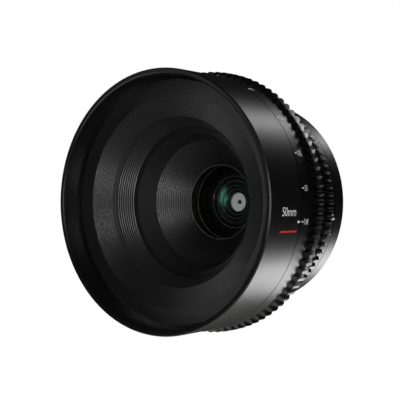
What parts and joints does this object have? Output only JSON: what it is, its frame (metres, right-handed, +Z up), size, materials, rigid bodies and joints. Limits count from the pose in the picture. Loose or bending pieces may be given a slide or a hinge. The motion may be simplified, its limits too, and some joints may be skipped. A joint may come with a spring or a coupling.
{
  "type": "cinema prime lens",
  "caption": "Black cinema prime lens with geared focus and iris rings, a deep ribbed front well, moving optics, an iris and a rear bayonet.",
  "frame": {"origin": "centre of the camera mount's flange face, on the optical axis", "axes": "+Y along the optical axis toward the camera, the front faces -Y, +Z is up"},
  "size_m": [0.0776, 0.0585, 0.0776],
  "materials": {
    "barrel_black": "satin black hard-anodised aluminium",
    "baffle_black": "matt black anodised aluminium",
    "steel": "turned steel",
    "brass": "turned brass",
    "glass": "polished glass with an antireflection coating",
    "blade": "grey blued spring steel"
  },
  "bodies": {
    "barrel": {"front_bell": "barrel_black", "front_baffle": "baffle_black", "inner_barrel": "baffle_black", "bell_screws": "steel", "rear_barrel": "barrel_black", "flange_shim": "brass", "bayonet_ring": "steel", "mount_screws": "steel", "sleeve_retainer": "baffle_black", "focus_stop_pin": "steel"},
    "focus": {"focus_ring": "barrel_black", "cam_sleeve": "baffle_black", "focus_ring_screws": "steel"},
    "iris": {"iris_ring": "barrel_black", "iris_fork": "steel", "fork_screws": "steel"},
    "optics": {"optical_barrel": "baffle_black", "cam_pins": "brass", "cone_baffle": "baffle_black", "front_cell": "baffle_black", "front_retainer": "baffle_black", "front_element": "glass", "lens_spacer": "baffle_black", "second_element": "glass", "stop_baffle": "baffle_black", "iris_housing": "baffle_black", "rear_cell": "baffle_black", "third_element": "glass", "rear_spacer": "baffle_black", "rear_element": "glass", "rear_retainer": "baffle_black"},
    "iris_drive": {"iris_drive_ring": "baffle_black", "iris_drive_pin": "steel"},
    "blade_1": {"iris_blade_1": "blade"},
    "blade_2": {"iris_blade_2": "blade"},
    "blade_3": {"iris_blade_3": "blade"},
    "blade_4": {"iris_blade_4": "blade"},
    "blade_5": {"iris_blade_5": "blade"},
    "blade_6": {"iris_blade_6": "blade"}
  },
  "joints": [
    {"name": "focus_turn", "type": "hinge", "parent": "barrel", "child": "focus", "pos_m": [0, -0.031, 0], "axis": [0, 1, 0], "range_deg": [0, 200]},
    {"name": "iris_turn", "type": "hinge", "parent": "barrel", "child": "iris", "pos_m": [0, -0.013, 0], "axis": [0, 1, 0], "range_deg": [-52, 0]},
    {"name": "optics_slide", "type": "slide", "parent": "barrel", "child": "optics", "axis": [0, 1, 0], "range_m": [0, 0.0067]},
    {"name": "iris_drive_turn", "type": "hinge", "parent": "optics", "child": "iris_drive", "pos_m": [0, -0.0127, 0], "axis": [0, 1, 0], "range_deg": [-52, 0]},
    {"name": "blade_1_swing", "type": "hinge", "parent": "optics", "child": "blade_1", "pos_m": [0.0145, -0.0112, 0], "axis": [0, 1, 0], "range_deg": [-10.5, 0]},
    {"name": "blade_2_swing", "type": "hinge", "parent": "optics", "child": "blade_2", "pos_m": [0.00725, -0.0112, -0.01256], "axis": [0, 1, 0], "range_deg": [-10.5, 0]},
    {"name": "blade_3_swing", "type": "hinge", "parent": "optics", "child": "blade_3", "pos_m": [-0.00725, -0.0112, -0.01256], "axis": [0, 1, 0], "range_deg": [-10.5, 0]},
    {"name": "blade_4_swing", "type": "hinge", "parent": "optics", "child": "blade_4", "pos_m": [-0.0145, -0.0112, 0], "axis": [0, 1, 0], "range_deg": [-10.5, 0]},
    {"name": "blade_5_swing", "type": "hinge", "parent": "optics", "child": "blade_5", "pos_m": [-0.00725, -0.0112, 0.01256], "axis": [0, 1, 0], "range_deg": [-10.5, 0]},
    {"name": "blade_6_swing", "type": "hinge", "parent": "optics", "child": "blade_6", "pos_m": [0.00725, -0.0112, 0.01256], "axis": [0, 1, 0], "range_deg": [-10.5, 0]}
  ],
  "couplings": [
    {"joint": "optics_slide", "follows": "focus_turn", "m_per_rad": 0.0019194},
    {"joint": "iris_drive_turn", "follows": "iris_turn", "ratio": 1},
    {"joint": "blade_1_swing", "follows": "iris_turn", "ratio": 0.20165},
    {"joint": "blade_2_swing", "follows": "iris_turn", "ratio": 0.20165},
    {"joint": "blade_3_swing", "follows": "iris_turn", "ratio": 0.20165},
    {"joint": "blade_4_swing", "follows": "iris_turn", "ratio": 0.20165},
    {"joint": "blade_5_swing", "follows": "iris_turn", "ratio": 0.20165},
    {"joint": "blade_6_swing", "follows": "iris_turn", "ratio": 0.20165}
  ]
}
